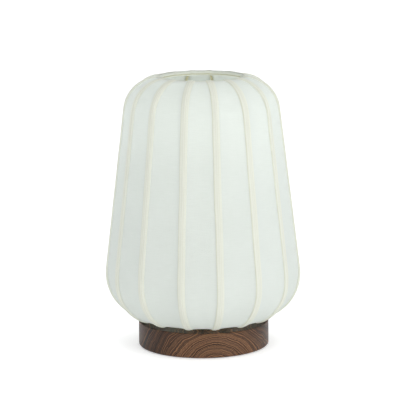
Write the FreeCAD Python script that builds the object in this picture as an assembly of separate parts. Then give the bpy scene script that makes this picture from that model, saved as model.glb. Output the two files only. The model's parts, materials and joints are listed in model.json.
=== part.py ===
"""Table lamp: a ribbed cloth lantern shade lifted over a lampholder on a turned wooden base.

Millimetres, +Z up. The origin is the centre of the underside that rests on the table.
The front is -Y. Bearings are degrees from the front, positive towards +X.
"""
import FreeCAD, Part
import math
import os

V = FreeCAD.Vector
UP = V(0, 0, 1)
ORIGIN = V(0, 0, 0)

# ---- turned wooden base -----------------------------------------------------------
base_radius = 75.0
base_top = 29.0
base_foot_gap = 0.6         # the wood stands this far above the table, on the felt
base_top_round = 0.8
base_bottom_round = 2.0
base_wall = 18.0            # wood round the cavity
base_roof = 9.0             # wood left over the cavity
base_rim = 9.0              # wood round the plate
base_cavity_radius = base_radius - base_wall

# ---- underside: felt, steel plate, screws, ballast --------------------------------
felt_thickness = 1.6
plate_thickness = 2.0
plate_gap = 0.4             # plate and felt to the rebate wall
plate_radius = base_radius - base_rim - plate_gap
plate_screw_circle = base_radius - (base_wall + base_rim) / 2
plate_screw_count = 4
plate_screw_first = 25.0    # bearing of the first screw
screw_shank_radius = 1.6
screw_head_radius = 3.1
screw_head_height = 1.5
screw_length = 13.0
ballast_gap = 7.0           # disc to the cavity wall
ballast_radius = base_cavity_radius - ballast_gap
ballast_hole_radius = 24.0
ballast_thickness = 5.0

# ---- threaded tube that clamps base, canopy and lampholder ------------------------
tube_radius = 5.0
tube_bore_radius = 3.9
tube_tail = 2.4             # length below the lower nut
tube_in_cap = 10.0          # length held inside the lampholder's cap
thread_gap = 0.05
pass_gap = 0.3
nut_across_flats = 14.0
nut_height = 4.0
washer_radius = 12.0
washer_thickness = 1.6
canopy_gap = 0.6            # canopy to the shade's fitter ring
canopy_thickness = 3.0

# ---- lampholder -------------------------------------------------------------------
cap_height = 15.0
cap_foot_radius = 9.0
cap_radius = 19.5
holder_wall = 1.8
skirt_height = 38.0
core_height = 8.0
core_gap = 0.4
shell_gap = 0.4             # bulb's cap to the threaded shell
shell_wall = 0.5
shell_length = 27.0
contact_radius = 3.0
contact_height = 2.0

# ---- bulb -------------------------------------------------------------------------
bulb_seat_gap = 0.3         # bulb's tip to the lampholder's contact
bulb_tip_radius = 4.5
bulb_tip_height = 1.5
bulb_insulator_height = 4.0
bulb_cap_radius = 13.0
bulb_cap_wall = 0.4
bulb_cap_length = 21.0
bulb_neck_gap = 0.2         # neck to the inside of the cap
bulb_neck_length = 10.0     # straight neck, partly inside the cap
bulb_neck_in_cap = 5.0
bulb_ball_radius = 30.0
bulb_ball_rise = 42.5       # neck's end to the ball's centre
bulb_glass = 0.8
stem_radius = 3.0
stem_length = 44.0
filament_radius = 0.9
filament_length = 30.0
filament_foot_circle = 6.5
filament_head_circle = 4.0
filament_count = 4

# ---- shade profile, measured on the ridge that the cloth makes over a rib ---------
shade_radius = 111.7
belly_rise = 56.0           # top of the base to the height of the widest point
belly_height = base_top + belly_rise
belly_curve = 55.0
tuck_angle = -64.0          # the belly's curve tightens below this
tuck_curve = 28.0
hem_angle = -84.0           # the cloth ends here, under the belly
flank_taper = 7.0
flank_length = 186.0
shoulder_curve = 39.6
crown_angle = 81.4          # the shoulder flattens into the crown here
crown_curve = 190.0
mouth_radius = 47.6         # the cloth ends here, over the top ring
rib_bearings = [-87.0, -61.9, -39.0, -12.9, 9.9, 34.0, 57.9, 83.0,
                112.0, 142.1, 171.0, 193.2, 221.5, 247.0]

# ---- shade: cloth, tape, binding and wire frame -----------------------------------
cloth = 0.6
tape = 0.5
tape_width = 8.0
binding = 0.6
binding_gap = 0.2
binding_lip = 8.0
hem_binding_reach = 4.0     # degrees of the tuck that the bottom binding covers
lay_gap = 0.1
rib_wire_radius = 1.1
ring_wire_radius = 1.6
ring_gap = 0.4              # ring to the flat of the panels
top_ring_inset = 1.4        # mouth edge of the cloth to the middle of the top ring
bottom_ring_turn = 6.0      # degrees up the tuck from the cloth edge to the bottom ring
weld_gap = 0.05
fitter_gap = 3.0            # bulb to the ring that is lifted over it
fitter_bore_radius = bulb_ball_radius + fitter_gap
fitter_wall = 3.0
fitter_height = 4.0
spider_bearings = [30.0, 150.0, 270.0]

# ---- cord inlet at the back and the switch beside it ------------------------------
inlet_bearing = 180.0
inlet_bore_radius = 3.5
inlet_wall = 1.5
inlet_flange_radius = 7.0
inlet_flange = 1.5
inlet_tail = 5.0            # length inside the cavity, for its nut
inlet_seat_depth = 2.0      # flat seat let into the round side
inlet_nut_across_flats = 14.0
inlet_nut_height = 3.0
side_hole_height = (base_top + base_foot_gap) / 2
switch_bearing = 140.0
switch_body_radius = 7.5
switch_bezel_radius = switch_body_radius + 1.5
switch_bezel = 1.6
switch_mouth_wall = 0.7
switch_mouth_radius = switch_body_radius - switch_mouth_wall
switch_depth = 14.0
switch_floor = 2.0
switch_seat_depth = 2.2
rocker_swing_gap = 0.3      # swinging end to the mouth
rocker_side_gap = 0.6       # straight side to the mouth
rocker_swing_radius = switch_mouth_radius - rocker_swing_gap
rocker_radius = switch_mouth_radius - rocker_side_gap
rocker_front = 2.4          # pivot to the rocker's front ridge
rocker_back = 3.0
rocker_half_angle = 11.0
rocker_pin_radius = 0.8
rocker_pin_gap = 0.05
rocker_pivot_depth = 1.6    # pivot behind the bezel's face
blade_width = 4.8
blade_thickness = 0.8
blade_length = 6.0
blade_spread = 3.4

# ---- wiring inside the base -------------------------------------------------------
wire_radius = 1.0
wire_pitch = wire_radius + 0.3  # half the distance between two wires side by side
block_length = 22.0
block_width = 16.0
block_height = 8.0
block_bearing = -150.0
block_circle = 36.0

# ---- places worked out from the sizes above ---------------------------------------
cavity_floor = felt_thickness + plate_thickness
cavity_roof = base_top - base_roof
tube_foot = cavity_roof - washer_thickness - nut_height - tube_tail
canopy_top = base_top + canopy_thickness
canopy_radius = fitter_bore_radius - canopy_gap
cap_foot = canopy_top + nut_height + 0.2
skirt_foot = cap_foot + cap_height
core_foot = skirt_foot + holder_wall
core_top = core_foot + core_height
bulb_foot = core_top + contact_height + bulb_seat_gap
bulb_cap_foot = bulb_foot + bulb_tip_height + bulb_insulator_height
bulb_cap_top = bulb_cap_foot + bulb_cap_length
shell_bore_radius = bulb_cap_radius + shell_gap
bulb_neck_radius = bulb_cap_radius - bulb_cap_wall - bulb_neck_gap
neck_foot = bulb_cap_top - bulb_neck_in_cap
neck_top = neck_foot + bulb_neck_length
ball_height = neck_top + bulb_ball_rise
widest_gap = max((b - a) % 360 for a, b in zip(rib_bearings, rib_bearings[1:] + rib_bearings[:1]))


def save(node, *solids):
    """Write one sub-part, as one solid or as a group of like solids."""
    shape = solids[0] if len(solids) == 1 else Part.makeCompound(list(solids))
    assert shape.isValid(), node
    shape.exportStep("parts/" + node + ".step")


def at(radius, height):
    """A point in the drawing plane, which is the plane of one rib."""
    return V(radius, 0, height)


def heading(angle):
    """The unit direction at an angle above the horizontal, in the drawing plane."""
    return V(math.cos(math.radians(angle)), 0, math.sin(math.radians(angle)))


def facing(bearing, radius=1.0, height=0.0):
    """The point at a bearing round the lamp, at a radius and a height."""
    turn = math.radians(bearing)
    return V(radius * math.sin(turn), -radius * math.cos(turn), height)


def turned(shape, bearing):
    """Swing a shape out of the drawing plane to its bearing."""
    copy = shape.copy()
    copy.rotate(ORIGIN, UP, bearing - 90)
    return copy


def disc(radius, foot, top, hole=0.0):
    body = Part.makeCylinder(radius, top - foot, V(0, 0, foot))
    if hole:
        body = body.cut(Part.makeCylinder(hole, top - foot, V(0, 0, foot)))
    return body


def rod(start, end, radius):
    return Part.makeCylinder(radius, (end - start).Length, start, end - start)


def hexagon(across_flats, height, foot, hole, bearing_shift=0.0):
    corner = across_flats / 2 / math.cos(math.radians(30))
    points = [V(corner * math.cos(math.radians(60 * k)), corner * math.sin(math.radians(60 * k)), foot)
              for k in range(7)]
    prism = Part.Face(Part.makePolygon(points)).extrude(V(0, 0, height))
    prism.rotate(ORIGIN, UP, bearing_shift)
    return prism.cut(Part.makeCylinder(hole, height, V(0, 0, foot)))


def lathe(edges):
    """Turn a closed outline of the drawing plane round the lamp's axis."""
    return Part.Face(Part.Wire(edges)).revolve(ORIGIN, UP, 360)


def outline(*points):
    """Straight edges through the points and back to the first."""
    loop = list(points) + [points[0]]
    return [Part.makeLine(a, b) for a, b in zip(loop, loop[1:])]


def arc(centre, radius, start, end):
    middle = (start + end) / 2
    points = [centre + heading(angle) * radius for angle in (start, middle, end)]
    return Part.Arc(*points).toShape()


# ---- base -------------------------------------------------------------------------
def side_tool(bearing, radius, inner, outer):
    """A cylinder that points out of the base's side at a bearing, for holes and seats."""
    return rod(facing(bearing, inner, side_hole_height), facing(bearing, outer, side_hole_height), radius)


def base_body():
    wood = disc(base_radius, base_foot_gap, base_top)
    rims = {round(edge.BoundBox.ZMax, 3): edge for edge in wood.Edges if edge.BoundBox.ZLength < 1e-6}
    wood = wood.makeFillet(base_top_round, [rims[round(base_top, 3)]])
    rims = {round(edge.BoundBox.ZMax, 3): edge for edge in wood.Edges if edge.BoundBox.ZLength < 1e-6}
    wood = wood.makeFillet(base_bottom_round, [rims[round(base_foot_gap, 3)]])
    wood = wood.cut(disc(plate_radius + plate_gap, 0, cavity_floor))
    wood = wood.cut(disc(base_cavity_radius, cavity_floor, cavity_roof))
    wood = wood.cut(disc(tube_radius + pass_gap, cavity_roof, base_top))
    for bearing in screw_bearings():
        foot = facing(bearing, plate_screw_circle, cavity_floor)
        wood = wood.cut(Part.makeCylinder(screw_shank_radius + thread_gap, screw_length, foot))
    out = base_radius + 1
    wood = wood.cut(side_tool(inlet_bearing, inlet_body_radius() + pass_gap, base_cavity_radius - 5, out))
    wood = wood.cut(side_tool(inlet_bearing, inlet_flange_radius + 0.5, base_radius - inlet_seat_depth, out))
    wood = wood.cut(side_tool(inlet_bearing, inlet_nut_across_flats * 0.66, base_cavity_radius - 5,
                              base_cavity_radius))
    wood = wood.cut(side_tool(switch_bearing, switch_body_radius + 0.2, base_cavity_radius - 5, out))
    return wood.cut(side_tool(switch_bearing, switch_bezel_radius + 0.4, base_radius - switch_seat_depth, out))


def screw_bearings():
    return [plate_screw_first + 360 / plate_screw_count * k for k in range(plate_screw_count)]


def plate_screw(bearing):
    foot = facing(bearing, plate_screw_circle, felt_thickness)
    head = Part.makeCone(screw_head_radius, screw_shank_radius, screw_head_height, foot)
    return head.fuse(Part.makeCylinder(screw_shank_radius, screw_length, foot)).removeSplitter()


def bottom_plate():
    plate = disc(plate_radius, felt_thickness, cavity_floor)
    for bearing in screw_bearings():
        foot = facing(bearing, plate_screw_circle, felt_thickness)
        sink = Part.makeCone(screw_head_radius + thread_gap, screw_shank_radius + thread_gap,
                             screw_head_height, foot)
        hole = Part.makeCylinder(screw_shank_radius + thread_gap, plate_thickness, foot)
        plate = plate.cut(sink).cut(hole)
    return plate


def base_group():
    save("base_body", base_body())
    save("felt_pad", disc(plate_radius, 0, felt_thickness))
    save("bottom_plate", bottom_plate())
    save("plate_screws", *[plate_screw(bearing) for bearing in screw_bearings()])
    save("ballast_disc", disc(ballast_radius, cavity_floor, cavity_floor + ballast_thickness, ballast_hole_radius))


# ---- threaded tube and what it clamps ---------------------------------------------
def clamp_group():
    save("threaded_tube", disc(tube_radius, tube_foot, cap_foot + tube_in_cap, tube_bore_radius))
    hole = tube_radius + thread_gap
    under = cavity_roof - washer_thickness
    lower = hexagon(nut_across_flats, nut_height, under - nut_height, hole)
    upper = hexagon(nut_across_flats, nut_height, canopy_top, hole)
    save("tube_nuts", lower, upper)
    save("tube_washer", disc(washer_radius, under, cavity_roof, tube_radius + pass_gap))
    save("canopy", disc(canopy_radius, base_top, canopy_top, tube_radius + pass_gap))


# ---- lampholder -------------------------------------------------------------------
def holder_group():
    hole = tube_radius + thread_gap
    collar = cap_foot + tube_in_cap * 0.6
    cone_top = cap_foot + cap_height * 0.7
    cap = lathe(outline(at(hole, cap_foot), at(cap_foot_radius, cap_foot), at(cap_radius, cone_top),
                        at(cap_radius, skirt_foot), at(cap_radius - holder_wall, skirt_foot),
                        at(cap_radius - holder_wall, cone_top), at(cap_foot_radius, collar), at(hole, collar)))
    save("holder_cap", cap)
    inner = cap_radius - holder_wall
    skirt = disc(cap_radius, skirt_foot, skirt_foot + skirt_height, inner)
    ledge = disc(inner, skirt_foot, core_foot, inner - 2 * holder_wall)
    save("holder_skirt", skirt.fuse(ledge).removeSplitter())
    core = disc(inner - core_gap, core_foot, core_top)
    for side in (-1, 1):
        hole_foot = V(side * (contact_radius + 2.5), 0, core_foot)
        core = core.cut(Part.makeCylinder(wire_radius + pass_gap, core_height / 2, hole_foot))
    save("holder_core", core)
    save("holder_shell", disc(shell_bore_radius + shell_wall, core_top, core_top + shell_length, shell_bore_radius))
    save("holder_contact", disc(contact_radius, core_top, core_top + contact_height))


# ---- bulb -------------------------------------------------------------------------
def bulb_globe():
    """Straight neck, a flare that runs tangent into the ball, and the ball, hollow."""
    flare = (bulb_neck_radius ** 2 + bulb_ball_rise ** 2 - bulb_ball_radius ** 2)
    flare /= 2 * (bulb_ball_radius - bulb_neck_radius)
    ball = at(0, ball_height)
    bend = at(bulb_neck_radius + flare, neck_top)
    meet = math.degrees(math.atan2(-bulb_ball_rise, bulb_neck_radius + flare))
    skins = []
    for inset in (0.0, bulb_glass):
        neck = [at(bulb_neck_radius - inset, height) for height in (neck_foot, neck_top)]
        sphere = arc(ball, bulb_ball_radius - inset, meet, 90)
        neck_arc = arc(bend, flare + inset, 180, 180 + meet)
        skins.append((neck, neck_arc, sphere))
    (outer_neck, outer_flare, outer_ball), (inner_neck, inner_flare, inner_ball) = skins
    crown = Part.makeLine(ball + heading(90) * bulb_ball_radius, ball + heading(90) * (bulb_ball_radius - bulb_glass))
    foot = Part.makeLine(outer_neck[0], inner_neck[0])
    edges = [foot, Part.makeLine(*outer_neck), outer_flare, outer_ball, crown, inner_ball, inner_flare,
             Part.makeLine(*inner_neck)]
    return lathe(Part.__sortEdges__(edges))


def bulb_group():
    tip_top = bulb_foot + bulb_tip_height
    save("bulb_contact", disc(bulb_tip_radius, bulb_foot, tip_top))
    save("bulb_insulator", Part.makeCone(bulb_tip_radius + 1, bulb_cap_radius - 1, bulb_insulator_height,
                                         V(0, 0, tip_top)))
    save("bulb_cap", disc(bulb_cap_radius, bulb_cap_foot, bulb_cap_top, bulb_cap_radius - bulb_cap_wall))
    save("bulb_globe", bulb_globe())
    seat = disc(bulb_neck_radius - bulb_glass - 0.1, neck_foot, neck_foot + 1.5)
    collar_foot = ball_height - filament_length / 2 - 1.5
    collar = disc(filament_foot_circle + 1, collar_foot, collar_foot + 1.2)
    shaft = disc(stem_radius, neck_foot, neck_foot + stem_length)
    head_foot = collar_foot + 1.2 + filament_length + 0.6
    post = disc(stem_radius / 2, neck_foot, head_foot)
    head = disc(filament_head_circle + 1, head_foot, head_foot + 1.2)
    save("bulb_stem", seat.fuse([shaft, post, collar, head]).removeSplitter())
    filaments = []
    for k in range(filament_count):
        bearing = 45 + 360 / filament_count * k
        foot = facing(bearing, filament_foot_circle, collar_foot + 1.5)
        top = facing(bearing, filament_head_circle, collar_foot + 1.5 + filament_length)
        filaments.append(rod(foot, top, filament_radius))
    save("bulb_filaments", *filaments)


# ---- shade profile ----------------------------------------------------------------
belly_centre = at(shade_radius - belly_curve, belly_height)
tuck_centre = belly_centre + heading(tuck_angle) * (belly_curve - tuck_curve)
shoulder_centre = (belly_centre + heading(flank_taper) * (belly_curve - shoulder_curve)
                   + heading(flank_taper + 90) * flank_length)
crown_centre = shoulder_centre - heading(crown_angle) * (crown_curve - shoulder_curve)
mouth_angle = math.degrees(math.acos((mouth_radius - crown_centre.x) / crown_curve))


def profile_point(angle, offset=0.0):
    """The point where the profile's outward normal has this angle, moved out by the offset."""
    if angle < tuck_angle:
        return tuck_centre + heading(angle) * (tuck_curve + offset)
    if angle < flank_taper:
        return belly_centre + heading(angle) * (belly_curve + offset)
    if angle < crown_angle:
        return shoulder_centre + heading(angle) * (shoulder_curve + offset)
    return crown_centre + heading(angle) * (crown_curve + offset)


def profile_edges(offset, start, end):
    """The profile from one normal angle up to another: four arcs and the straight flank."""
    spans = [(tuck_centre, tuck_curve, -90.0, tuck_angle),
             (belly_centre, belly_curve, tuck_angle, flank_taper),
             (shoulder_centre, shoulder_curve, flank_taper, crown_angle),
             (crown_centre, crown_curve, crown_angle, 90.0)]
    edges = []
    for centre, curve, low, high in spans:
        low = max(low, start)
        high = min(high, end)
        if high - low < 1e-6:
            continue
        if centre is shoulder_centre and edges:
            flank_foot = belly_centre + heading(flank_taper) * (belly_curve + offset)
            edges.append(Part.makeLine(flank_foot, centre + heading(low) * (curve + offset)))
        edges.append(arc(centre, curve + offset, low, high))
    return edges


def band(inner, outer, start, end):
    """The closed outline between two offsets of the profile."""
    low = [profile_point(start, offset) for offset in (inner, outer)]
    high = [(profile_edges(offset, start, end)[-1]).Vertexes[-1].Point for offset in (inner, outer)]
    edges = profile_edges(inner, start, end) + profile_edges(outer, start, end)
    edges += [Part.makeLine(*low), Part.makeLine(*high)]
    return Part.Wire(Part.__sortEdges__(edges))


# ---- shade frame ------------------------------------------------------------------
def ring_place(angle, radius):
    """Centre of a ring's wire under the cloth, clear of the flat panels between two ribs."""
    sag = radius * (1 - math.cos(math.radians(widest_gap / 2))) * abs(math.cos(math.radians(angle)))
    return profile_point(angle, -(cloth + sag + ring_gap + ring_wire_radius))


top_ring_angle = math.degrees(math.acos((mouth_radius + top_ring_inset - crown_centre.x) / crown_curve))
top_ring_centre = ring_place(top_ring_angle, mouth_radius)
bottom_ring_centre = ring_place(hem_angle + bottom_ring_turn, profile_point(hem_angle).x)


def wire_ring(centre, spare=0.0):
    return Part.makeTorus(centre.x, ring_wire_radius + spare, V(0, 0, centre.z))


def rib():
    """One bent wire inside the ridge of two panels, cut where it is welded to the rings."""
    sink = cloth + lay_gap + rib_wire_radius / math.cos(math.radians(widest_gap / 2))
    path = Part.Wire(profile_edges(-sink, hem_angle + bottom_ring_turn, top_ring_angle))
    start = path.Edges[0].Vertexes[0].Point
    along = heading(hem_angle + bottom_ring_turn + 90)
    section = Part.Wire(Part.makeCircle(rib_wire_radius, start, along))
    wire = path.makePipeShell([section], True, False)
    for centre in (top_ring_centre, bottom_ring_centre):
        wire = wire.cut(wire_ring(centre, weld_gap))
    return max(wire.Solids, key=lambda solid: solid.Volume)


def frame_group():
    save("frame_top_ring", wire_ring(top_ring_centre))
    save("frame_bottom_ring", wire_ring(bottom_ring_centre))
    one_rib = rib()
    save("frame_ribs", *[turned(one_rib, bearing) for bearing in rib_bearings])
    outer = fitter_bore_radius + fitter_wall
    fitter = disc(outer, base_top, base_top + fitter_height, fitter_bore_radius)
    save("fitter_ring", fitter)
    inner_end = at(fitter_bore_radius + fitter_wall / 2, base_top + fitter_height / 2 + 0.2)
    arm = rod(inner_end, bottom_ring_centre, ring_wire_radius)
    arm = arm.cut(disc(outer + weld_gap, 0, base_top + 2 * fitter_height))
    arm = arm.cut(wire_ring(bottom_ring_centre, weld_gap))
    arm = max(arm.Solids, key=lambda solid: solid.Volume)
    save("spider_arms", *[turned(arm, bearing) for bearing in spider_bearings])
    return rod(inner_end, bottom_ring_centre, ring_wire_radius + 2 * lay_gap)


# ---- cloth, tapes and bindings ----------------------------------------------------
def panel(start_bearing, end_bearing):
    """One cloth gore, straight from rib to rib, with its ends in the planes of the ribs."""
    section = band(-cloth, 0.0, hem_angle, mouth_angle)
    return Part.makeLoft([turned(section, start_bearing), turned(section, end_bearing)], True, True)


def rib_tape():
    """The folded strip sewn over one ridge, from the bottom binding to the top binding."""
    low = hem_angle + hem_binding_reach + 1.0
    section = Part.Face(band(lay_gap, lay_gap + tape, low, crown_angle - 1.0))
    section.translate(V(0, -tape_width / 2, 0))
    return section.extrude(V(0, tape_width, 0))


def binding_ring(start, end, lip_radius, lip_foot, lip_top):
    """A strip folded over a ring: outside along the profile and back up or down inside."""
    cover = Part.Face(band(binding_gap, binding_gap + binding, start, end)).revolve(ORIGIN, UP, 360)
    lip = disc(lip_radius, lip_foot, lip_top, lip_radius - binding)
    return cover.fuse(lip)


def cloth_group(arm_clearance):
    following = rib_bearings[1:] + [rib_bearings[0] + 360]
    for number, (start, end) in enumerate(zip(rib_bearings, following), 1):
        save("panel_%02d" % number, panel(start, end))
    one_tape = rib_tape()
    save("rib_tapes", *[turned(one_tape, bearing) for bearing in rib_bearings])

    flat = math.cos(math.radians(widest_gap / 2))
    lip_radius = mouth_radius * flat - 2 * lay_gap
    lip_angle = math.degrees(math.acos((lip_radius - binding - crown_centre.x) / (crown_curve + binding_gap)))
    rim = profile_point(lip_angle, binding_gap + binding / 2).z
    save("top_binding", binding_ring(crown_angle, lip_angle, lip_radius, rim - binding_lip, rim))

    hem_radius = profile_point(hem_angle).x * flat - 2 * lay_gap
    lip_angle = -math.degrees(math.acos((hem_radius - binding - tuck_centre.x) / (tuck_curve + binding_gap)))
    rim = profile_point(lip_angle, binding_gap + binding / 2).z
    hem = binding_ring(lip_angle, hem_angle + hem_binding_reach, hem_radius, rim, rim + binding_lip * 0.75)
    for bearing in spider_bearings:
        hem = hem.cut(turned(arm_clearance, bearing))
    save("bottom_binding", max(hem.Solids, key=lambda solid: solid.Volume))


# ---- cord inlet -------------------------------------------------------------------
def inlet_body_radius():
    return inlet_bore_radius + inlet_wall


def inlet_group():
    seat = base_radius - inlet_seat_depth
    tail = base_cavity_radius - inlet_tail
    bushing = side_tool(inlet_bearing, inlet_body_radius(), tail, seat)
    bushing = bushing.fuse(side_tool(inlet_bearing, inlet_flange_radius, seat, seat + inlet_flange))
    bushing = bushing.cut(side_tool(inlet_bearing, inlet_bore_radius, tail, seat + inlet_flange))
    save("cord_bushing", bushing.removeSplitter())
    nut = hexagon(inlet_nut_across_flats, inlet_nut_height, 0, inlet_body_radius() + thread_gap, 30)
    nut.rotate(ORIGIN, V(0, 1, 0), 90)
    nut.translate(at(base_cavity_radius - inlet_nut_height, side_hole_height))
    save("bushing_nut", turned(nut, inlet_bearing))


# ---- switch, drawn pointing along +X and then swung to its bearing ----------------
def switch_group():
    face = base_radius - switch_seat_depth + switch_bezel
    axis = at(0, side_hole_height)
    out = V(1, 0, 0)

    def plug(radius, start, end):
        return Part.makeCylinder(radius, end - start, axis + out * start, out)

    back = face - switch_depth
    housing = plug(switch_bezel_radius, face - switch_bezel, face).fuse(plug(switch_body_radius, back, face))
    housing = housing.cut(plug(switch_mouth_radius, back + switch_floor, face)).removeSplitter()
    pivot = axis + out * (face - rocker_pivot_depth)
    pin_reach = switch_body_radius - 0.1
    pin_hole = Part.makeCylinder(rocker_pin_radius + rocker_pin_gap, 2 * switch_body_radius,
                                 pivot - V(0, switch_body_radius, 0), V(0, 1, 0))
    housing = housing.cut(pin_hole)
    save("switch_housing", turned(housing, switch_bearing))

    paddle = plug(rocker_radius, pivot.x - rocker_back, pivot.x + rocker_front)
    drum = Part.makeCylinder(rocker_swing_radius, 4 * rocker_radius, pivot - V(0, 2 * rocker_radius, 0), V(0, 1, 0))
    paddle = paddle.common(drum)
    for side in (-1, 1):
        slope = side * rocker_half_angle
        block = Part.makeBox(20, 40, 40, pivot + V(rocker_front, -20, -20))
        block.rotate(pivot + V(rocker_front, 0, 0), V(0, 1, 0), slope)
        paddle = paddle.cut(block)
    pin = Part.makeCylinder(rocker_pin_radius, 2 * pin_reach, pivot - V(0, pin_reach, 0), V(0, 1, 0))
    rocker = paddle.fuse(pin).removeSplitter()
    rocker.rotate(pivot, V(0, 1, 0), rocker_half_angle)
    save("switch_rocker", turned(rocker, switch_bearing))

    blades = []
    for side in (-1, 1):
        corner = V(back - blade_length, -blade_width / 2, side_hole_height + side * blade_spread - blade_thickness / 2)
        blade = Part.makeBox(blade_length, blade_width, blade_thickness, corner)
        blades.append(turned(blade, switch_bearing))
    save("switch_terminals", *blades)


# ---- wiring -----------------------------------------------------------------------
def wire(points):
    """A round wire through straight runs joined by tangent arcs."""
    edges = []
    start = points[0]
    for before, corner, after in zip(points, points[1:], points[2:]):
        way_in = (corner - before)
        way_out = (after - corner)
        half_turn = way_in.getAngle(way_out) / 2
        setback = 0.45 * min(way_in.Length, way_out.Length)
        way_in.normalize()
        way_out.normalize()
        arc_start = corner - way_in * setback
        arc_end = corner + way_out * setback
        radius = setback / math.tan(half_turn)
        inward = way_out - way_in
        inward.normalize()
        middle = corner + inward * (radius / math.cos(half_turn) - radius)
        edges.append(Part.makeLine(start, arc_start))
        edges.append(Part.Arc(arc_start, middle, arc_end).toShape())
        start = arc_end
    edges.append(Part.makeLine(start, points[-1]))
    path = Part.Wire(edges)
    section = Part.Wire(Part.makeCircle(wire_radius, points[0], points[1] - points[0]))
    return path.makePipeShell([section], True, False)


def block_point(outward, across, height):
    """A point in the terminal block's own frame: outward from the lamp's axis, and across."""
    return turned(Part.Vertex(V(outward, across, height)), block_bearing).Point


def riser_points(side, low):
    """From under the tube, up through it and into the lampholder's core."""
    x = side * wire_pitch
    aside = side * (contact_radius + 2.5)
    return [V(x, 0, low), V(x, 0, cap_foot + tube_in_cap + 0.6), V(aside, 0, skirt_foot - 0.6),
            V(aside, 0, core_foot + core_height / 2 - 0.5)]


def wiring_group():
    block_foot = cavity_floor + ballast_thickness
    block = Part.makeBox(block_width, block_length, block_height,
                         V(block_circle - block_width / 2, -block_length / 2, block_foot))
    save("terminal_block", turned(block, block_bearing))

    level = block_foot + block_height / 2
    low = cavity_floor + 3 * wire_radius
    near = block_circle - block_width / 2
    end = -block_length / 2
    neutral = [block_point(near, end / 2, level), block_point(near - 7, end / 2, level),
               facing(165, 10, low)]
    save("wire_neutral", wire(neutral + riser_points(-1, low)))

    tail = base_radius - switch_seat_depth + switch_bezel - switch_depth - blade_length
    upper = side_hole_height + blade_spread
    lower = side_hole_height - blade_spread
    switched = [facing(switch_bearing, tail, lower), facing(switch_bearing, tail - 9, lower),
                facing(152, 27, level), facing(150, 13, low)]
    save("wire_live_switched", wire(switched + riser_points(1, low)))
    feed = [block_point(block_circle, end, level), block_point(block_circle, end - 8, level),
            facing(158, 38, level + 3), facing(switch_bearing, tail - 9, upper), facing(switch_bearing, tail, upper)]
    save("wire_live_feed", wire(feed))


def main():
    os.makedirs("parts", exist_ok=True)
    base_group()
    clamp_group()
    holder_group()
    bulb_group()
    cloth_group(frame_group())
    inlet_group()
    switch_group()
    wiring_group()


main()
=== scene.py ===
"""Looks of a table lamp: a ribbed cloth lantern shade over a dark turned wooden base.

Metres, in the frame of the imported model: +Z up, the front is -Y. Bearings are degrees from the
front, positive towards +X.
"""
import json
import math

import bpy
import numpy as np
from mathutils import Matrix, Vector


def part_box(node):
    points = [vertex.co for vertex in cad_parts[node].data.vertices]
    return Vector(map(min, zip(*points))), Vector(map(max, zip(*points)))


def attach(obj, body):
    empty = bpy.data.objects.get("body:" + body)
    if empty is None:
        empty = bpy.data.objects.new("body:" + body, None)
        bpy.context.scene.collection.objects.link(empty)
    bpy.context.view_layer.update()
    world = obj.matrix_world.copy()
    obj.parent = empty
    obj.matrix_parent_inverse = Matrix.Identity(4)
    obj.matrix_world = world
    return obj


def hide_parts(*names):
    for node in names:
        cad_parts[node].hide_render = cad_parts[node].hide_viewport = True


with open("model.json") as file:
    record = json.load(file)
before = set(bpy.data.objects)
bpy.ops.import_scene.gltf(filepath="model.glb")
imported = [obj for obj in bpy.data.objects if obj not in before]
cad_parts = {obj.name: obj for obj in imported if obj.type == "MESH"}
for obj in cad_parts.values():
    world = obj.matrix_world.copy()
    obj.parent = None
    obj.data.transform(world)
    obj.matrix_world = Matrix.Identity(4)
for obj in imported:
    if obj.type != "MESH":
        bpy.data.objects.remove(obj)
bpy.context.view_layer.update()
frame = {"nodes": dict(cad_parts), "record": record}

MM = 0.001
SEED = 7

# ---- shade: the ridge that the cloth makes over a rib, from the hem to the mouth ------------
SHADE_RADIUS = 111.7 * MM
BELLY_HEIGHT = 85.0 * MM
BELLY_CURVE = 55.0 * MM
TUCK_ANGLE = -64.0
TUCK_CURVE = 28.0 * MM
HEM_ANGLE = -84.0
FLANK_TAPER = 7.0
FLANK_LENGTH = 186.0 * MM
SHOULDER_CURVE = 39.6 * MM
CROWN_ANGLE = 81.4
CROWN_CURVE = 190.0 * MM
MOUTH_RADIUS = 47.6 * MM
RIB_BEARINGS = [-87.0, -61.9, -39.0, -12.9, 9.9, 34.0, 57.9, 83.0,
                112.0, 142.1, 171.0, 193.2, 221.5, 247.0]

# ---- gores ----------------------------------------------------------------------------------
CLOTH = 0.5 * MM
GORE_ROWS = 170
GORE_COLUMNS = 29
HEM_RISE = 1.3 * MM          # how far the hem lifts between two ribs
HEM_REACH = 7 * MM           # how soon that lift dies away above the hem
SAG_SHARE = 0.45             # how far the tension down the ribs pulls a gore in, against a soap film's
SAG_AT_RING = 0.15 * MM
SAG_AWAY = 0.1 * MM          # added to the pull where the rings don't hold the cloth
RING_HOLD = 3 * MM           # a ring holds the cloth out this far from it
RING_RELEASE = 24 * MM       # and lets it go over this length
BEND_ROWS = 7                # rows over which a change of curve comes in
PUCKER_WAVES = (31, 43, 57)
PUCKER_HEIGHT = 0.10 * MM
PUCKER_REACH = 5 * MM
RIPPLE_WAVES = (5, 9, 13)
RIPPLE_HEIGHT = 0.22 * MM
GORE_WEAVE_SHIFT = 0.09      # moves the weave from one gore to the next

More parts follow.
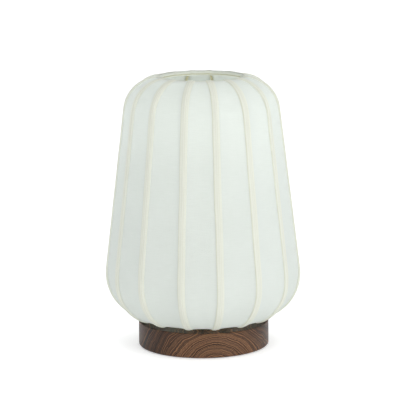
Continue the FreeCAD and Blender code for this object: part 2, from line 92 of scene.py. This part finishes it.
# ---- tapes over the ribs --------------------------------------------------------------------
TAPE_ROWS = 230
TAPE_WIDTH = 8.4 * MM
TAPE_PROUD = 0.65 * MM       # height of a tape over the cloth
TAPE_START = 0.7 * MM        # distance from the hem
TAPE_WIDTH_SPREAD = 0.05     # share of the width by which it varies
TAPE_WIDTH_WAVES = (2, 5, 8)
TAPE_WANDER = 0.45 * MM      # how far a tape strays from its rib
TAPE_WANDER_WAVES = (1, 2, 4)
TAPE_ROUNDING = 1.2 * MM     # how softly it bends over the ridge
TONGUE_LENGTH = 1.6 * MM     # by how much the corners of its lower end are rounded off
TONGUE_REACH = 2 * MM
TAPE_WEAVE_SHIFT = 0.41
# (place across, height): shares of half the tape's width and of its height over the cloth
TAPE_SECTION = [(-1.0, -0.5), (-1.0, 0.25), (-0.97, 0.72), (-0.88, 0.95), (-0.7, 1.0), (-0.45, 0.92),
                (-0.2, 0.97), (0.0, 1.05), (0.16, 1.0), (0.24, 0.86), (0.3, 0.70), (0.5, 0.66),
                (0.75, 0.70), (0.9, 0.66), (0.97, 0.45), (1.0, 0.12), (1.0, -0.5)]

# ---- bindings over the two rings ------------------------------------------------------------
BEARINGS_ROUND = np.linspace(0, 360, 361)[:-1]
MOUTH_ROLL_GAP = 0.75 * MM   # from the wire's face to the strip
MOUTH_CROWN_START = 82.7
MOUTH_CROWN_GAP = 0.1 * MM
MOUTH_ROLL_RISE = 0.5 * MM
MOUTH_ROLL_PEAK = 95         # angle at which the roll stands highest
MOUTH_STRIP = 0.35 * MM
MOUTH_BUMP = 0.55 * MM       # swelling of the strip over a rib
MOUTH_BUMP_REACH = 3.2       # degrees
MOUTH_DIP = 0.12 * MM        # and how far it sinks between two
HEM_ROLL_GAP = 0.45 * MM
HEM_LIP_SLOPE = 0.08

# ---- wood -----------------------------------------------------------------------------------
HEART = (0.013, 0.0, -0.013)                                 # a point on the line the rings run round
RING_STRETCH = (1.0, 0.0, 1.15)
WAVERS = ((15.0, 0.016), (70.0, 0.0035), (420.0, 0.0008))    # scale, and pull in metres
# painted shade: the golden grey laid along the folds of the tapes and bindings
PAINTED_SHADE_COLOUR = (0.57, 0.56, 0.38)

# ---- studio ---------------------------------------------------------------------------------
FLOOR_REACH = 6.0
FLOOR_GREY = 0.93
FLOOR_GLOW = 0.18            # on what stands on the floor
FLOOR_GLOW_SEEN = 0.32       # in the picture
ROOM_LIGHT = 0.885
ROOM_SEEN = 1.0
ROOM_IN_GLOSS = 0.5
COOL = (0.78, 0.86, 1.0)

# ---- camera, from the photograph's perspective ----------------------------------------------
CAMERA_PLACE = Vector((-0.003, -2.464, 0.617))
CAMERA_DIP = 10.32           # degrees below the horizon
CAMERA_ROLL = -0.5
CAMERA_LENS = 196.8
CAMERA_SENSOR = 36.0
CAMERA_FAR = 50.0


# ---- materials ------------------------------------------------------------------------------
class Shader:
    """A material's node tree, with short calls for the nodes used here."""

    def __init__(self, name):
        self.material = bpy.data.materials.new(name)
        self.material.use_nodes = True
        self.tree = self.material.node_tree
        self.surface = self.tree.nodes["Principled BSDF"]
        self.output = self.tree.nodes["Material Output"]

    def add(self, kind, inputs=None, **settings):
        node = self.tree.nodes.new("ShaderNode" + kind)
        for key, value in settings.items():
            setattr(node, key, value)
        for key, value in (inputs or {}).items():
            self.feed(node.inputs[key], value)
        return node

    def feed(self, socket, value):
        if isinstance(value, bpy.types.NodeSocket):
            self.tree.links.new(value, socket)
        elif isinstance(value, (tuple, list)) and socket.type == "RGBA" and len(value) == 3:
            socket.default_value = (*value, 1.0)
        else:
            socket.default_value = value

    def coordinates(self, kind="Object", scale=(1, 1, 1), location=(0, 0, 0)):
        source = self.add("TexCoord").outputs[kind]
        mapping = self.add("Mapping", {"Vector": source, "Scale": scale, "Location": location})
        return mapping.outputs["Vector"]

    def noise(self, vector, scale, detail=3.0, roughness=0.55):
        inputs = {"Vector": vector, "Scale": scale, "Detail": detail, "Roughness": roughness}
        return self.add("TexNoise", inputs).outputs["Fac"]

    def math(self, operation, first, second=0.0, clamp=False):
        node = self.add("Math", operation=operation, use_clamp=clamp)
        self.feed(node.inputs[0], first)
        self.feed(node.inputs[1], second)
        return node.outputs[0]

    def weighted(self, first, first_share, second, second_share):
        """The sum of two values, each times its share."""
        return self.math("ADD", self.math("MULTIPLY", first, first_share),
                         self.math("MULTIPLY", second, second_share))

    def vector(self, operation, first, second=None, output=0):
        inputs = {0: first} if second is None else {0: first, 1: second}
        return self.add("VectorMath", inputs, operation=operation).outputs[output]

    def between(self, value, low, high):
        """A value from 0 to 1, spread between low and high."""
        return self.add("MapRange", {"Value": value, "To Min": low, "To Max": high}).outputs[0]

    def ramp(self, factor, stops):
        node = self.add("ValToRGB", {"Fac": factor})
        while len(node.color_ramp.elements) < len(stops):
            node.color_ramp.elements.new(0.5)
        for element, (place, colour) in zip(node.color_ramp.elements, stops):
            element.position = place
            element.color = (*colour, 1.0)
        return node.outputs["Color"]

    def mix(self, factor, first, second, blend="MIX"):
        node = self.add("Mix", data_type="RGBA", blend_type=blend)
        for place, value in ((0, factor), (6, first), (7, second)):
            self.feed(node.inputs[place], value)
        return node.outputs[2]

    def bump(self, height, distance):
        inputs = {"Height": height, "Distance": distance, "Strength": 1.0}
        return self.add("Bump", inputs).outputs["Normal"]

    def set(self, **sockets):
        for name, value in sockets.items():
            self.feed(self.surface.inputs[name.replace("_", " ")], value)
        return self.material


def varied(name, colour, roughness, spread=0.08, grain=400.0, dent=0.00002, **sockets):
    """A plain finish with the mottling and fine surface of the real thing."""
    shader = Shader(name)
    place = shader.coordinates()
    fine = shader.noise(place, grain, 4.0)
    broad = shader.noise(place, grain / 18, 3.0)
    low = tuple(c * (1 - spread) for c in colour)
    high = tuple(min(1.0, c * (1 + spread)) for c in colour)
    tint = shader.ramp(shader.weighted(fine, 0.5, broad, 0.5), [(0.35, low), (0.65, high)])
    wear = shader.add("MapRange", {"Value": broad, "From Min": 0.3, "From Max": 0.7,
                                   "To Min": max(0.02, roughness - 0.07), "To Max": roughness + 0.07})
    return shader.set(Base_Color=tint, Roughness=wear.outputs[0], Normal=shader.bump(fine, dent), **sockets)


def painted_fold_shade(shader, across, place_across, width, cloud, strength):
    """How much a fold shows: a soft line along the piece, stronger in some places than in others."""
    # painted shade: the fold's line is darkened towards the painted shade colour
    off = shader.math("ABSOLUTE", shader.math("SUBTRACT", across, place_across * MM))
    line = shader.math("SUBTRACT", 1.0, shader.math("DIVIDE", off, width * MM), clamp=True)
    patchy = shader.math("MULTIPLY", shader.math("ADD", cloud, 0.45), strength, clamp=True)
    return shader.math("MULTIPLY", line, patchy)


def woven(name, colour, second_colour, thread, slub, glow, folds=None):
    """Cloth of crossed threads, with thick and thin weft, lit a little through its back.

    The piece's UV map is in metres: across the piece, then along it. Folds are lines of painted
    shade along the piece, as (place across, width) in millimetres, with how strongly each one shows.
    """
    shader = Shader(name)
    apart = shader.add("SeparateXYZ", {"Vector": shader.coordinates("UV")})
    waves = []
    for axis in ("X", "Y"):
        turn = shader.math("MULTIPLY", apart.outputs[axis], 2 * math.pi / thread)
        waves.append(shader.math("SINE", turn))
    weave = shader.math("MULTIPLY", waves[0], waves[1])
    weft = shader.noise(shader.coordinates("UV", scale=(70, 1100, 1)), 1.0, 3.0, 0.6)
    warp = shader.noise(shader.coordinates("UV", scale=(900, 60, 1)), 1.0, 2.0, 0.6)
    cloud = shader.noise(shader.coordinates("Object"), 22.0, 3.0)
    streak = shader.weighted(weft, 0.7, warp, 0.3)
    streak = shader.weighted(streak, 0.75, cloud, 0.25)
    tint = shader.ramp(streak, [(0.36, second_colour), (0.62, colour)])
    # painted shade along each fold
    for (place_across, width), strength in (folds or {}).items():
        fold_shade_share = painted_fold_shade(shader, apart.outputs["X"], place_across, width, cloud, strength)
        tint = shader.mix(fold_shade_share, tint, PAINTED_SHADE_COLOUR)
    relief = shader.bump(shader.weighted(weave, 0.25, streak, slub), 0.00025)
    shader.set(Base_Color=tint, Roughness=0.9, Normal=relief, Sheen_Weight=0.25, Sheen_Roughness=0.5,
               Specular_IOR_Level=0.15)
    through = shader.add("BsdfTranslucent", {"Color": tint, "Normal": relief})
    both = shader.add("MixShader", {"Fac": glow})
    shader.tree.links.new(shader.surface.outputs[0], both.inputs[1])
    shader.tree.links.new(through.outputs[0], both.inputs[2])
    shader.tree.links.new(both.outputs[0], shader.output.inputs["Surface"])
    return shader.material


def wavered(shader, place):
    """Shift a place by noises of several sizes, so that the rings waver."""
    for scale, pull in WAVERS:
        waver = shader.add("TexNoise", {"Vector": place, "Scale": scale, "Detail": 2.0}).outputs["Color"]
        shift = shader.vector("SUBTRACT", waver, (0.5, 0.5, 0.5))
        place = shader.vector("ADD", place, shader.vector("MULTIPLY", shift, (pull, 0.0, pull)))
    return place


def ring_noise(shader, radius, scale, detail, roughness):
    inputs = {"W": radius, "Scale": scale, "Detail": detail, "Roughness": roughness}
    return shader.add("TexNoise", inputs, noise_dimensions="1D").outputs["Fac"]


def walnut():
    """Dark wood whose growth rings run round a line parallel to Y, below the front face."""
    shader = Shader("walnut")
    place = wavered(shader, shader.coordinates(location=tuple(-value for value in HEART)))
    radius = shader.vector("LENGTH", shader.vector("MULTIPLY", place, RING_STRETCH), output="Value")
    parts = shader.add("SeparateXYZ", {"Vector": place})
    angle = shader.math("ARCTAN2", parts.outputs["X"], parts.outputs["Z"])

    bands = ring_noise(shader, radius, 170.0, 2.0, 0.5)
    lines = ring_noise(shader, radius, 820.0, 3.0, 0.65)
    ground = shader.ramp(bands, [(0.34, (0.024, 0.012, 0.007)), (0.5, (0.068, 0.034, 0.018)),
                                 (0.66, (0.12, 0.06, 0.031))])
    bright = shader.ramp(lines, [(0.5, (0.0, 0.0, 0.0)), (0.62, (0.85, 0.85, 0.85)),
                                 (0.75, (1.0, 1.0, 1.0))])
    dark = shader.ramp(lines, [(0.3, (0.22, 0.2, 0.2)), (0.44, (1.0, 1.0, 1.0))])
    tint = shader.mix(bright, ground, (0.33, 0.155, 0.066))
    tint = shader.mix(1.0, tint, dark, "MULTIPLY")

    along_rings = shader.add("CombineXYZ", {"X": shader.math("MULTIPLY", radius, 1500.0),
                                            "Y": shader.math("MULTIPLY", angle, 16.0),
                                            "Z": shader.math("MULTIPLY", parts.outputs["Y"], 40.0)})
    fibre = shader.noise(along_rings.outputs[0], 1.0, 3.0, 0.6)
    pores = shader.ramp(fibre, [(0.33, (0.35, 0.32, 0.3)), (0.5, (1.0, 1.0, 1.0))])
    tint = shader.mix(0.8, tint, pores, "MULTIPLY")
    # painted shade: the wood darkens the farther it lies from the rings' centre, most on the left side
    far = shader.math("DIVIDE", radius, 0.1)
    painted_side_shade = shader.ramp(far, [(0.3, (1.0, 1.0, 1.0)), (0.5, (0.85, 0.85, 0.85)),
                              (0.74, (0.4, 0.36, 0.34))])
    tint = shader.mix(1.0, tint, painted_side_shade, "MULTIPLY")
    relief = shader.bump(shader.math("ADD", fibre, shader.math("MULTIPLY", lines, 0.6)), 0.00008)
    return shader.set(Base_Color=tint, Roughness=shader.between(fibre, 0.5, 0.32), Normal=relief,
                      Specular_IOR_Level=0.26)


def clear_glass():
    """Bulb glass, with a faint haze."""
    shader = Shader("clear_glass")
    haze = shader.noise(shader.coordinates(), 60.0, 3.0)
    return shader.set(Base_Color=(0.97, 0.98, 0.975), Roughness=shader.between(haze, 0.0, 0.06), IOR=1.46,
                      Transmission_Weight=1.0, Normal=shader.bump(haze, 0.00004))


def make_materials():
    """One material for each of the record's slots, and two for the strips and the wrapped wire."""
    metal = {"Metallic": 1.0}
    return {
        "shade_cloth": woven("shade_cloth", (0.90, 0.93, 0.90), (0.86, 0.892, 0.858), 0.00055, 0.9, 0.48),
        # the folds listed for the tape and the binding are painted shade; the binding's widest, at full
        # strength, is a golden painted shade
        "cream_tape": woven("cream_tape", (0.95, 0.96, 0.88), (0.915, 0.928, 0.84), 0.00042, 0.6, 0.42,
                            {(-3.8, 0.45): 0.38, (-0.9, 0.3): 0.2, (1.25, 0.35): 0.28}),
        "binding": woven("binding", (0.91, 0.93, 0.87), (0.87, 0.89, 0.82), 0.00042, 0.6, 0.48,
                         {(3.0, 0.35): 0.4, (9.2, 0.9): 1.0}),
        "wire_wrap": woven("wire_wrap", (0.74, 0.69, 0.46), (0.64, 0.59, 0.37), 0.0011, 1.0, 0.1),
        "walnut": walnut(),
        "felt": varied("felt", (0.03, 0.03, 0.032), 0.97, 0.5, 2600.0, 0.0003),
        "steel": varied("steel", (0.6, 0.6, 0.61), 0.32, 0.06, 900.0, **metal),
        "iron": varied("iron", (0.16, 0.16, 0.17), 0.62, 0.25, 700.0, 0.00015, **metal),
        "dark_metal": varied("dark_metal", (0.03, 0.03, 0.032), 0.42, 0.1, 1500.0, 0.00003),
        "holder_plastic": varied("holder_plastic", (0.78, 0.78, 0.75), 0.4, 0.03, 800.0),
        "ceramic": varied("ceramic", (0.8, 0.79, 0.74), 0.18, 0.03, 500.0, Coat_Weight=0.5),
        "brass": varied("brass", (0.72, 0.52, 0.22), 0.28, 0.08, 700.0, **metal),
        "solder": varied("solder", (0.62, 0.62, 0.63), 0.45, 0.1, 900.0, 0.00008, **metal),
        "black_glass": varied("black_glass", (0.015, 0.015, 0.016), 0.08, 0.1, 300.0, 0.00001),
        "nickel": varied("nickel", (0.72, 0.7, 0.66), 0.2, 0.05, 900.0, **metal),
        "clear_glass": clear_glass(),
        "phosphor": varied("phosphor", (0.78, 0.52, 0.1), 0.6, 0.1, 2500.0, 0.00004),
        "white_wire": varied("white_wire", (0.6, 0.55, 0.36), 0.45, 0.12, 600.0, 0.00004),
        "black_plastic": varied("black_plastic", (0.02, 0.02, 0.021), 0.45, 0.15, 1400.0, 0.00004),
        "black_rocker": varied("black_rocker", (0.016, 0.016, 0.017), 0.16, 0.1, 900.0, 0.00001),
        "blue_wire": varied("blue_wire", (0.03, 0.12, 0.42), 0.4, 0.08, 900.0),
        "brown_wire": varied("brown_wire", (0.13, 0.055, 0.025), 0.4, 0.08, 900.0),
    }


def dress_nodes(materials):
    """Give each CAD node the material of its slot; the shade's wires and rings are wrapped."""
    wrapped = {"frame_ribs", "frame_top_ring", "frame_bottom_ring"}
    for entry in frame["record"]["subparts"]:
        node = frame["nodes"][entry["node"]]
        chosen = "wire_wrap" if entry["node"] in wrapped else entry["material_slot"]
        node.data.materials.clear()
        node.data.materials.append(materials[chosen])


# ---- shade profile --------------------------------------------------------------------------
def along(angle):
    return np.array([math.cos(math.radians(angle)), math.sin(math.radians(angle))])


BELLY_CENTRE = np.array([SHADE_RADIUS - BELLY_CURVE, BELLY_HEIGHT])
TUCK_CENTRE = BELLY_CENTRE + along(TUCK_ANGLE) * (BELLY_CURVE - TUCK_CURVE)
SHOULDER_CENTRE = (BELLY_CENTRE + along(FLANK_TAPER) * (BELLY_CURVE - SHOULDER_CURVE)
                   + along(FLANK_TAPER + 90) * FLANK_LENGTH)
CROWN_CENTRE = SHOULDER_CENTRE - along(CROWN_ANGLE) * (CROWN_CURVE - SHOULDER_CURVE)
MOUTH_ANGLE = math.degrees(math.acos((MOUTH_RADIUS - CROWN_CENTRE[0]) / CROWN_CURVE))


def arc_span(centre, curve, start, end):
    return (math.radians(end - start) * curve, centre, curve, start, end)


def profile_spans():
    """(length, centre, curve, first normal angle, last normal angle); the flank has no curve."""
    flank_foot = BELLY_CENTRE + along(FLANK_TAPER) * BELLY_CURVE
    return [
        arc_span(TUCK_CENTRE, TUCK_CURVE, HEM_ANGLE, TUCK_ANGLE),
        arc_span(BELLY_CENTRE, BELLY_CURVE, TUCK_ANGLE, FLANK_TAPER),
        (FLANK_LENGTH, flank_foot, 0.0, FLANK_TAPER, FLANK_TAPER),
        arc_span(SHOULDER_CENTRE, SHOULDER_CURVE, FLANK_TAPER, CROWN_ANGLE),
        arc_span(CROWN_CENTRE, CROWN_CURVE, CROWN_ANGLE, MOUTH_ANGLE),
    ]


SPANS = profile_spans()
RIDGE_LENGTH = sum(span[0] for span in SPANS)


def ridge(distances):
    """Place (radius, height), outward normal and curvature at distances up the ridge from the hem."""
    place, normal, bend = [], [], []
    for distance in distances:
        left = distance
        for number, (length, centre, curve, start, end) in enumerate(SPANS):
            if left <= length or number == len(SPANS) - 1:
                break
            left -= length
        if curve:
            out = along(start + math.degrees(left / curve))
            place.append(centre + out * curve)
            bend.append(1 / curve)
        else:
            out = along(start)
            place.append(centre + along(start + 90) * left)
            bend.append(0.0)
        normal.append(out)
    return np.array(place), np.array(normal), np.array(bend)


def eased(values, reach):
    """Average over neighbours, so that a change of curve comes in gently."""
    weights = np.hanning(2 * reach + 1)
    weights /= weights.sum()
    padded = np.concatenate([np.full(reach, values[0]), values, np.full(reach, values[-1])])
    return np.convolve(padded, weights, "valid")


def facing(bearing, radius, height):
    """Points at bearings round the lamp; the arguments may be arrays."""
    turn = np.radians(bearing)
    radius, turn, height = np.broadcast_arrays(radius, turn, height)
    return np.stack([radius * np.sin(turn), -radius * np.cos(turn), height], axis=-1)


# ---- meshes ---------------------------------------------------------------------------------
def link(thing):
    bpy.context.scene.collection.objects.link(thing)
    return thing


def grid_piece(name, points, uv, material, body, closed=False):
    """A mesh from a grid of points, rows by columns; closed joins the last column to the first."""
    rows, columns = points.shape[:2]
    mesh = bpy.data.meshes.new(name)
    wide = columns if closed else columns - 1
    faces, corners = [], []
    for row in range(rows - 1):
        for column in range(wide):
            after = (column + 1) % columns
            faces.append([row * columns + column, row * columns + after, (row + 1) * columns + after,
                          (row + 1) * columns + column])
            corners += [(row, column), (row, column + 1), (row + 1, column + 1), (row + 1, column)]
    mesh.from_pydata(points.reshape(-1, 3).tolist(), [], faces)
    layer = mesh.uv_layers.new(name="cloth_metres")
    layer.data.foreach_set("uv", np.array([uv[row, column] for row, column in corners]).ravel())
    mesh.polygons.foreach_set("use_smooth", [True] * len(faces))
    mesh.materials.append(material)
    piece = link(bpy.data.objects.new(name, mesh))
    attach(piece, body)
    return piece


def thicken(piece, thickness, offset):
    """Give a piece a thickness: offset -1 puts it all inside the drawn face, 0 half on either side."""
    modifier = piece.modifiers.new("thickness", "SOLIDIFY")
    modifier.thickness = thickness
    modifier.offset = offset
    modifier.use_rim = True


def smooth_noise(length, waves, generator):
    """A gentle seeded wander between -1 and 1 along a piece."""
    steps = np.linspace(0, 1, length)
    total = np.zeros(length)
    for wave in waves:
        total += np.sin(2 * math.pi * (wave * steps + generator.random())) * generator.uniform(0.5, 1.0)
    return total / len(waves)


# ---- cloth gores ----------------------------------------------------------------------------
def gore_sag(distances, bend, width):
    """How far the middle of a gore is pulled in: the curve down the ribs against the cloth across.

    The two rings hold the cloth out, so this dies away towards the hem and the mouth.
    """
    from_ring = np.minimum(distances, RIDGE_LENGTH - distances)
    free = np.clip((from_ring - RING_HOLD) / RING_RELEASE, 0, 1)
    free = free * free * (3 - 2 * free)
    return SAG_AT_RING + free * (SAG_AWAY + SAG_SHARE * eased(bend, BEND_ROWS) * width ** 2 / 8)


def gore_width(places, spacing):
    """Straight width from rib to rib at each place; the spacing in degrees may be an array."""
    return 2 * places[:, 0] * np.sin(np.radians(spacing / 2))


def make_gore(number, start, end, material):
    """The cloth between two ribs, with its piece, area and widest width."""
    generator = np.random.default_rng(SEED * 100 + number)
    distances = np.linspace(0, RIDGE_LENGTH, GORE_ROWS)
    places, normals, bend = ridge(distances)
    width = gore_width(places, end - start)
    sag = gore_sag(distances, bend, width)
    across = np.linspace(0, 1, GORE_COLUMNS)
    left = facing(start, places[:, 0], places[:, 1])[:, None, :]
    right = facing(end, places[:, 0], places[:, 1])[:, None, :]
    points = left * (1 - across)[None, :, None] + right * across[None, :, None]
    outward = facing((start + end) / 2, normals[:, 0], normals[:, 1])[:, None, :]
    bow = 4 * across * (1 - across)
    from_seam = np.minimum(across, 1 - across)[None, :] * width[:, None]
    pucker = smooth_noise(GORE_ROWS, PUCKER_WAVES, generator)[:, None] * np.exp(-from_seam / PUCKER_REACH)
    ripple = smooth_noise(GORE_ROWS, RIPPLE_WAVES, generator)[:, None] * bow[None, :]
    lift = PUCKER_HEIGHT * pucker + RIPPLE_HEIGHT * ripple
    points = points + outward * (lift - sag[:, None] * bow[None, :])[:, :, None]
    points[:, :, 2] += np.exp(-distances / HEM_REACH)[:, None] * HEM_RISE * bow[None, :]
    sideways = (across[None, :] - 0.5) * width[:, None] + number * GORE_WEAVE_SHIFT
    uv = np.stack(np.broadcast_arrays(sideways, distances[:, None]), axis=-1)
    gore = grid_piece("gore_%02d" % number, points, uv, material, "shade")
    thicken(gore, CLOTH, -1.0)
    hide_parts("panel_%02d" % number)
    return gore, float(np.trapz(width, distances)), float(width.max())


# ---- tapes over the ribs --------------------------------------------------------------------
def tape_fall(sideways, spacing_left, spacing_right, distances, places, normals, bend):
    """How far a tape drops off the ridge, onto the gore on that side."""
    spacing = np.where(sideways < 0, spacing_left, spacing_right)
    width = gore_width(places, spacing)
    turn_down = np.tan(np.radians(spacing / 2)) * np.abs(normals[:, 0])
    drop = turn_down + 4 * gore_sag(distances, bend, width) / width
    return drop * (np.sqrt(sideways ** 2 + TAPE_ROUNDING ** 2) - TAPE_ROUNDING)


def make_tape(number, bearing, spacing_left, spacing_right, material):
    """A folded strip over a ridge: it bends down onto both gores and is thicker along its folds."""
    generator = np.random.default_rng(SEED * 1000 + number)
    distances = np.linspace(TAPE_START, RIDGE_LENGTH, TAPE_ROWS)
    places, normals, bend = ridge(distances)
    uneven = TAPE_WIDTH_SPREAD * smooth_noise(TAPE_ROWS, TAPE_WIDTH_WAVES, generator)
    half = TAPE_WIDTH / 2 * (1 + uneven)
    wander = TAPE_WANDER * smooth_noise(TAPE_ROWS, TAPE_WANDER_WAVES, generator)
    side = np.array([*along(bearing), 0.0])
    columns, uv = [], []
    for share, height in TAPE_SECTION:
        sideways = share * half + wander
        fall = tape_fall(sideways, spacing_left, spacing_right, distances, places, normals, bend)
        out = height * TAPE_PROUD - fall
        tongue = TONGUE_LENGTH * abs(share) ** 3 * np.exp(-(distances - distances[0]) / TONGUE_REACH)
        radial = places[:, 0] + normals[:, 0] * out
        level = places[:, 1] + normals[:, 1] * out + tongue
        columns.append(facing(bearing, radial, level) + sideways[:, None] * side[None, :])
        across = np.full(TAPE_ROWS, share * TAPE_WIDTH / 2)
        uv.append(np.stack([across, distances + number * TAPE_WEAVE_SHIFT], axis=-1))
    points = np.stack(columns, axis=1)
    uv = np.stack(uv + uv[:1], axis=1)
    tape = grid_piece("tape_%02d" % number, points, uv, material, "shade", closed=True)
    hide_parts("rib_tapes")
    return tape


# ---- bindings -------------------------------------------------------------------------------
def ring_wire(node):
    """Half the thickness of a ring's wire, and the wire's centre as (radius, height)."""
    low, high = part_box(node)
    wire = (high[2] - low[2]) / 2
    return wire, np.array([(high[0] - low[0]) / 2 - wire, (high[2] + low[2]) / 2])


def over_ribs(bearings, reach):
    """1 over a rib and 0 between two, for the swellings where a strip crosses the ribs."""
    gaps = np.abs((bearings[:, None] - np.array(RIB_BEARINGS)[None, :] + 180) % 360 - 180)
    return np.exp(-(gaps.min(axis=1) / reach) ** 2)


def strip_round(name, path, lifts, radius_round, material):
    """A closed strip whose section is a path of (radius, height), with its width along that path."""
    rows = [facing(BEARINGS_ROUND, radius, height + lift) for (radius, height), lift in zip(path, lifts)]
    steps = np.concatenate([[0], np.cumsum(np.linalg.norm(np.diff(path, axis=0), axis=1))])
    around = np.radians(np.append(BEARINGS_ROUND, 360.0)) * radius_round
    uv = np.stack(np.meshgrid(around, steps)[::-1], axis=-1)
    piece = grid_piece(name, np.stack(rows, axis=0), uv, material, "shade", closed=True)
    return piece, float(steps[-1])


def make_mouth_binding(material):
    """The strip rolled over the top ring: out along the crown, over the wire and down inside."""
    wire, centre = ring_wire("frame_top_ring")
    roll = wire + MOUTH_ROLL_GAP
    crown = [CROWN_CENTRE + along(angle) * (CROWN_CURVE + MOUTH_CROWN_GAP)
             for angle in np.linspace(MOUTH_CROWN_START, MOUTH_ANGLE, 6)]
    turn = []
    for angle in np.linspace(92, 180, 9):
        rise = MOUTH_ROLL_RISE * max(0.0, math.cos(math.radians(angle - MOUTH_ROLL_PEAK)))
        turn.append(centre + along(angle) * roll + np.array([0.0, rise]))
    inside = [np.array([centre[0] - roll, centre[1] - depth])
              for depth in np.linspace(0.6 * MM, 2.6 * MM, 5)]
    bump = over_ribs(BEARINGS_ROUND, MOUTH_BUMP_REACH) * MOUTH_BUMP - MOUTH_DIP
    weights = [np.linspace(0.3, 1.0, 6), np.linspace(1.0, 0.6, 9), np.linspace(0.5, 0.1, 5)]
    lifts = [bump * weight for weight in np.concatenate(weights)]
    piece, width = strip_round("mouth_binding", np.array(crown + turn + inside), lifts, centre[0], material)
    thicken(piece, MOUTH_STRIP, 0.0)
    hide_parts("top_binding")


def make_hem_binding(material):
    """The strip folded round the bottom ring, tucked up inside the belly."""
    wire, centre = ring_wire("frame_bottom_ring")
    roll = wire + HEM_ROLL_GAP
    turn = [centre + along(angle) * roll for angle in np.linspace(-85, -270, 20)]
    lip = [centre + np.array([reach, roll + HEM_LIP_SLOPE * reach])
           for reach in np.linspace(0.8 * MM, 4.2 * MM, 5)]
    path = np.array(turn + lip)
    piece, width = strip_round("hem_binding", path, np.zeros(len(path)), centre[0], material)
    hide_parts("bottom_binding")


def make_shade(materials):
    """Gores, tapes and bindings; each tape is sewn to the gore on its right."""
    following = RIB_BEARINGS[1:] + [RIB_BEARINGS[0] + 360]
    previous = [RIB_BEARINGS[-1] - 360] + RIB_BEARINGS[:-1]
    for number, (before, bearing, after) in enumerate(zip(previous, RIB_BEARINGS, following), 1):
        gore, area, width = make_gore(number, bearing, after, materials["shade_cloth"])
        tape = make_tape(number, bearing, bearing - before, after - bearing, materials["cream_tape"])
    make_mouth_binding(materials["binding"])
    make_hem_binding(materials["binding"])


# ---- studio ---------------------------------------------------------------------------------
def make_floor():
    """A pale floor that is a little brighter in the picture than in the light it sends."""
    mesh = bpy.data.meshes.new("floor")
    corners = [(-1, -1), (1, -1), (1, 1), (-1, 1)]
    mesh.from_pydata([(x * FLOOR_REACH, y * FLOOR_REACH, 0) for x, y in corners], [], [(0, 1, 2, 3)])
    shader = Shader("floor")
    path = shader.add("LightPath").outputs
    seen = shader.math("MAXIMUM", path["Is Camera Ray"], path["Is Transmission Ray"])
    shader.set(Base_Color=(FLOOR_GREY, FLOOR_GREY, FLOOR_GREY), Roughness=0.9, Specular_IOR_Level=0.0,
               Emission_Color=(1, 1, 1), Emission_Strength=shader.between(seen, FLOOR_GLOW, FLOOR_GLOW_SEEN))
    mesh.materials.append(shader.material)
    link(bpy.data.objects.new("floor", mesh))


def make_world():
    """A white room: its light on the lamp, and what the picture, glass and gloss see of it."""
    world = bpy.data.worlds.new("studio")
    bpy.context.scene.world = world
    world.use_nodes = True
    tree = world.node_tree
    background = tree.nodes["Background"]
    background.inputs["Color"].default_value = (1, 1, 1, 1)
    path = tree.nodes.new("ShaderNodeLightPath")
    strength = None
    seen = {"Is Camera Ray": ROOM_SEEN, "Is Transmission Ray": ROOM_SEEN, "Is Glossy Ray": ROOM_IN_GLOSS}
    for name, value in seen.items():
        pick = tree.nodes.new("ShaderNodeMapRange")
        pick.inputs["To Min"].default_value = ROOM_LIGHT
        pick.inputs["To Max"].default_value = value
        tree.links.new(path.outputs[name], pick.inputs["Value"])
        if strength:
            tree.links.new(strength, pick.inputs["To Min"])
        strength = pick.outputs[0]
    tree.links.new(strength, background.inputs["Strength"])


def add_light(name, kind, place, watts):
    data = bpy.data.lights.new(name, kind)
    data.energy = watts
    lamp = link(bpy.data.objects.new(name, data))
    lamp.location = place
    lamp.visible_camera = False
    return lamp


def area_light(name, place, target, size, watts, colour=(1.0, 1.0, 1.0)):
    lamp = add_light(name, "AREA", place, watts)
    lamp.data.shape = "DISK"
    lamp.data.size = size
    lamp.data.color = colour
    lamp.rotation_euler = (Vector(target) - Vector(place)).to_track_quat("-Z", "Y").to_euler()


def make_lights():
    """A large key from the front right, and what a white room sends from the sides and through the cloth."""
    aim = (0.0, 0.0, 0.14)
    area_light("key", (1.75, -1.75, 0.8), aim, 1.6, 21.0)
    area_light("fill", (-1.6, -2.2, 0.8), aim, 1.8, 9.0)
    area_light("left_wall", (-2.3, 0.35, 0.6), aim, 1.6, 6.5, COOL)
    area_light("right_wall", (2.3, 0.35, 0.6), aim, 1.6, 6.5, COOL)
    area_light("overhead", (0.0, 0.3, 1.9), (0.0, 0.0, 0.3), 0.9, 1.0)
    area_light("inner_bounce", (0.0, 0.0, 0.215), (0.0, 0.0, 0.4), 0.06, 0.02)
    mouth = add_light("mouth_bounce", "POINT", (0.0, 0.0, 0.278), 0.045)
    mouth.data.shadow_soft_size = 0.025


def make_camera():
    data = bpy.data.cameras.new("camera")
    data.lens = CAMERA_LENS
    data.sensor_width = CAMERA_SENSOR
    data.clip_end = CAMERA_FAR
    camera = link(bpy.data.objects.new("camera", data))
    tilt = Matrix.Rotation(math.radians(90 - CAMERA_DIP), 4, "X")
    roll = Matrix.Rotation(math.radians(CAMERA_ROLL), 4, "Z")
    camera.matrix_world = Matrix.Translation(CAMERA_PLACE) @ tilt @ roll
    bpy.context.scene.camera = camera
    bpy.context.scene.view_settings.view_transform = "Standard"


make_camera()
materials_made = make_materials()
dress_nodes(materials_made)
make_shade(materials_made)
make_floor()
make_world()
make_lights()
